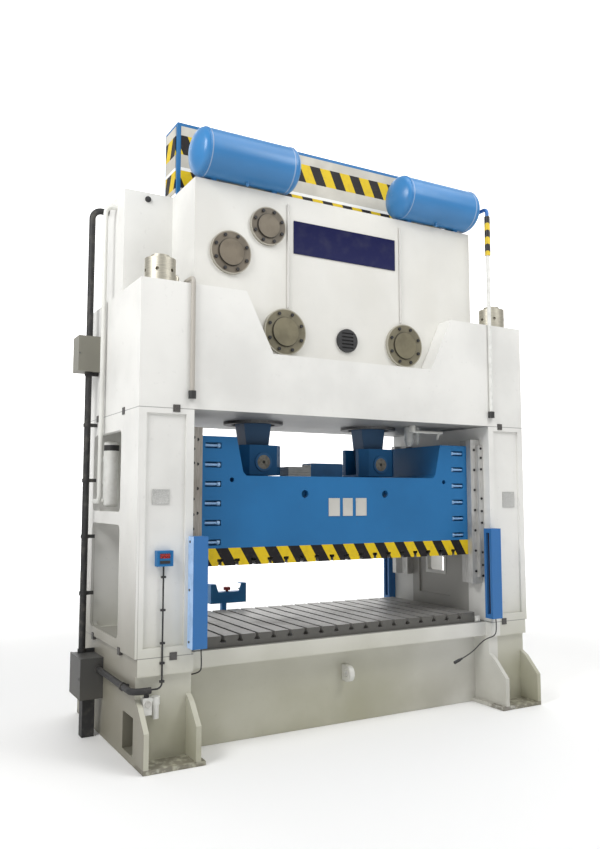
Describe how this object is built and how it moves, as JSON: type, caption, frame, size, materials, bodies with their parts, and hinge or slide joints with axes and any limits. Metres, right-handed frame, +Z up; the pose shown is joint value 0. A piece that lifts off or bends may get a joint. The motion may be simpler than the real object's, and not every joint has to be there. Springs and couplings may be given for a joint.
{
  "type": "straight-side eccentric press",
  "caption": "Large straight-side eccentric press: bed, two uprights and crown on tie rods, a guided slide on two con-rods, geared drive, tanks and guards.",
  "frame": {"origin": "middle of the bed's plan at floor level", "axes": "+X to the right seen from the operator's side, +Y to the back of the press, +Z up"},
  "size_m": [4.09, 1.876, 5.187],
  "materials": {
    "white_paint": "satin",
    "blue_paint": "gloss",
    "grey_paint": "satin",
    "dark_grey_paint": "satin",
    "steel": "machined",
    "bronze": "machined",
    "cast_iron": "machined",
    "black_plastic": "matte",
    "red_plastic": "gloss",
    "green_plastic": "gloss",
    "rubber": "matte"
  },
  "bodies": {
    "frame": {"air_service_unit": "grey_paint", "air_tank_left": "blue_paint", "air_tank_right": "blue_paint", "balance_pipe": "white_paint", "balance_vessel": "white_paint", "bed": "white_paint", "belt_guard": "grey_paint", "bolster": "steel", "breather_grille": "dark_grey_paint", "conduits": "black_plastic", "console": "blue_paint", "cover_bolts": "steel", "crown": "white_paint", "crown_pipes": "white_paint", "display_box": "blue_paint", "display_cable": "rubber", "drive_belts": "rubber", "drive_motor": "blue_paint", "drive_shaft_cover": "steel", "eccentric_covers": "steel", "eccentric_pins": "steel", "gibs_left": "steel", "gibs_right": "steel", "guard_frame": "blue_paint", "guard_panels": "grey_paint", "intermediate_shaft_cover": "steel", "lead_connector": "black_plastic", "left_cable": "rubber", "light_curtain_left": "blue_paint", "light_curtain_right": "blue_paint", "lower_junction_box": "dark_grey_paint", "neck_rings": "steel", "rear_light_curtains": "blue_paint", "right_lead": "rubber", "seam_keys": "steel", "tank_saddles": "blue_paint", "tie_rod_nuts": "steel", "tie_rods": "steel", "upper_junction_box": "grey_paint", "upright_left": "white_paint", "upright_right": "white_paint"},
    "pitmans": {"con_rod_left": "blue_paint", "con_rod_right": "blue_paint", "wrist_pins": "bronze", "pitman_screws": "blue_paint"},
    "slide": {"slide": "blue_paint", "slide_plate": "steel", "gib_screws": "steel", "adjuster_drive": "blue_paint"},
    "eccentric_left": {"eccentric_gear_left": "cast_iron"},
    "eccentric_right": {"eccentric_gear_right": "cast_iron"},
    "intermediate": {"intermediate_shaft": "steel"},
    "drive": {"drive_shaft": "steel"},
    "flywheel": {"flywheel": "cast_iron"},
    "pulley": {"motor_pulley": "cast_iron"},
    "upper_door": {"upper_box_door": "grey_paint"},
    "lower_door": {"lower_box_door": "dark_grey_paint"},
    "left_start": {"start_button_left": "green_plastic"},
    "right_start": {"start_button_right": "green_plastic"},
    "stop": {"stop_button": "red_plastic"}
  },
  "joints": [
    {"name": "slide_stroke", "type": "slide", "parent": "frame", "child": "pitmans", "axis": [0, 0, 1], "range_m": [-0.2, 0]},
    {"name": "height_adjust", "type": "slide", "parent": "pitmans", "child": "slide", "axis": [0, 0, 1], "range_m": [-0.05, 0.05]},
    {"name": "left_eccentric_turn", "type": "hinge", "parent": "frame", "child": "eccentric_left", "pos_m": [-0.63, 0, 3.335], "axis": [0, 1, 0], "range_deg": [-1, 181]},
    {"name": "right_eccentric_turn", "type": "hinge", "parent": "frame", "child": "eccentric_right", "pos_m": [0.63, 0, 3.335], "axis": [0, 1, 0], "range_deg": [-181, 1]},
    {"name": "intermediate_shaft_turn", "type": "hinge", "parent": "frame", "child": "intermediate", "pos_m": [-1.14, 0, 3.95136], "axis": [0, 1, 0], "range_deg": [-669, 1]},
    {"name": "drive_shaft_turn", "type": "hinge", "parent": "frame", "child": "drive", "pos_m": [-0.7959, 0, 4.23195], "axis": [0, 1, 0], "range_deg": [-1, 2077]},
    {"name": "flywheel_spin", "type": "hinge", "parent": "frame", "child": "flywheel", "pos_m": [-0.7959, 0.7, 4.23195], "axis": [0, 1, 0], "continuous": true},
    {"name": "motor_pulley_spin", "type": "hinge", "parent": "frame", "child": "pulley", "pos_m": [0.25, 0.7, 4.78995], "axis": [0, 1, 0], "continuous": true},
    {"name": "upper_door_hinge", "type": "hinge", "parent": "frame", "child": "upper_door", "pos_m": [-2.129, 0.531, 3.1735], "axis": [0, 0, -1], "range_deg": [0, 110]},
    {"name": "lower_door_hinge", "type": "hinge", "parent": "frame", "child": "lower_door", "pos_m": [-2.104, 0.461, 0.4655], "axis": [0, 0, -1], "range_deg": [0, 110]},
    {"name": "left_start_press", "type": "slide", "parent": "frame", "child": "left_start", "axis": [0, 0, -1], "range_m": [0, 0.006], "stiffness_N_per_m": 1500, "springref_m": -0.004},
    {"name": "right_start_press", "type": "slide", "parent": "frame", "child": "right_start", "axis": [0, 0, -1], "range_m": [0, 0.006], "stiffness_N_per_m": 1500, "springref_m": -0.004},
    {"name": "stop_press", "type": "slide", "parent": "frame", "child": "stop", "axis": [0, 0, -1], "range_m": [0, 0.006], "stiffness_N_per_m": 1500, "springref_m": -0.004}
  ],
  "couplings": [
    {"joint": "left_eccentric_turn", "follows": "slide_stroke", "rad_per_m": -15.708},
    {"joint": "right_eccentric_turn", "follows": "slide_stroke", "rad_per_m": 15.708},
    {"joint": "intermediate_shaft_turn", "follows": "slide_stroke", "rad_per_m": 58.212},
    {"joint": "drive_shaft_turn", "follows": "slide_stroke", "rad_per_m": -181.1},
    {"joint": "motor_pulley_spin", "follows": "flywheel_spin", "ratio": 5}
  ]
}
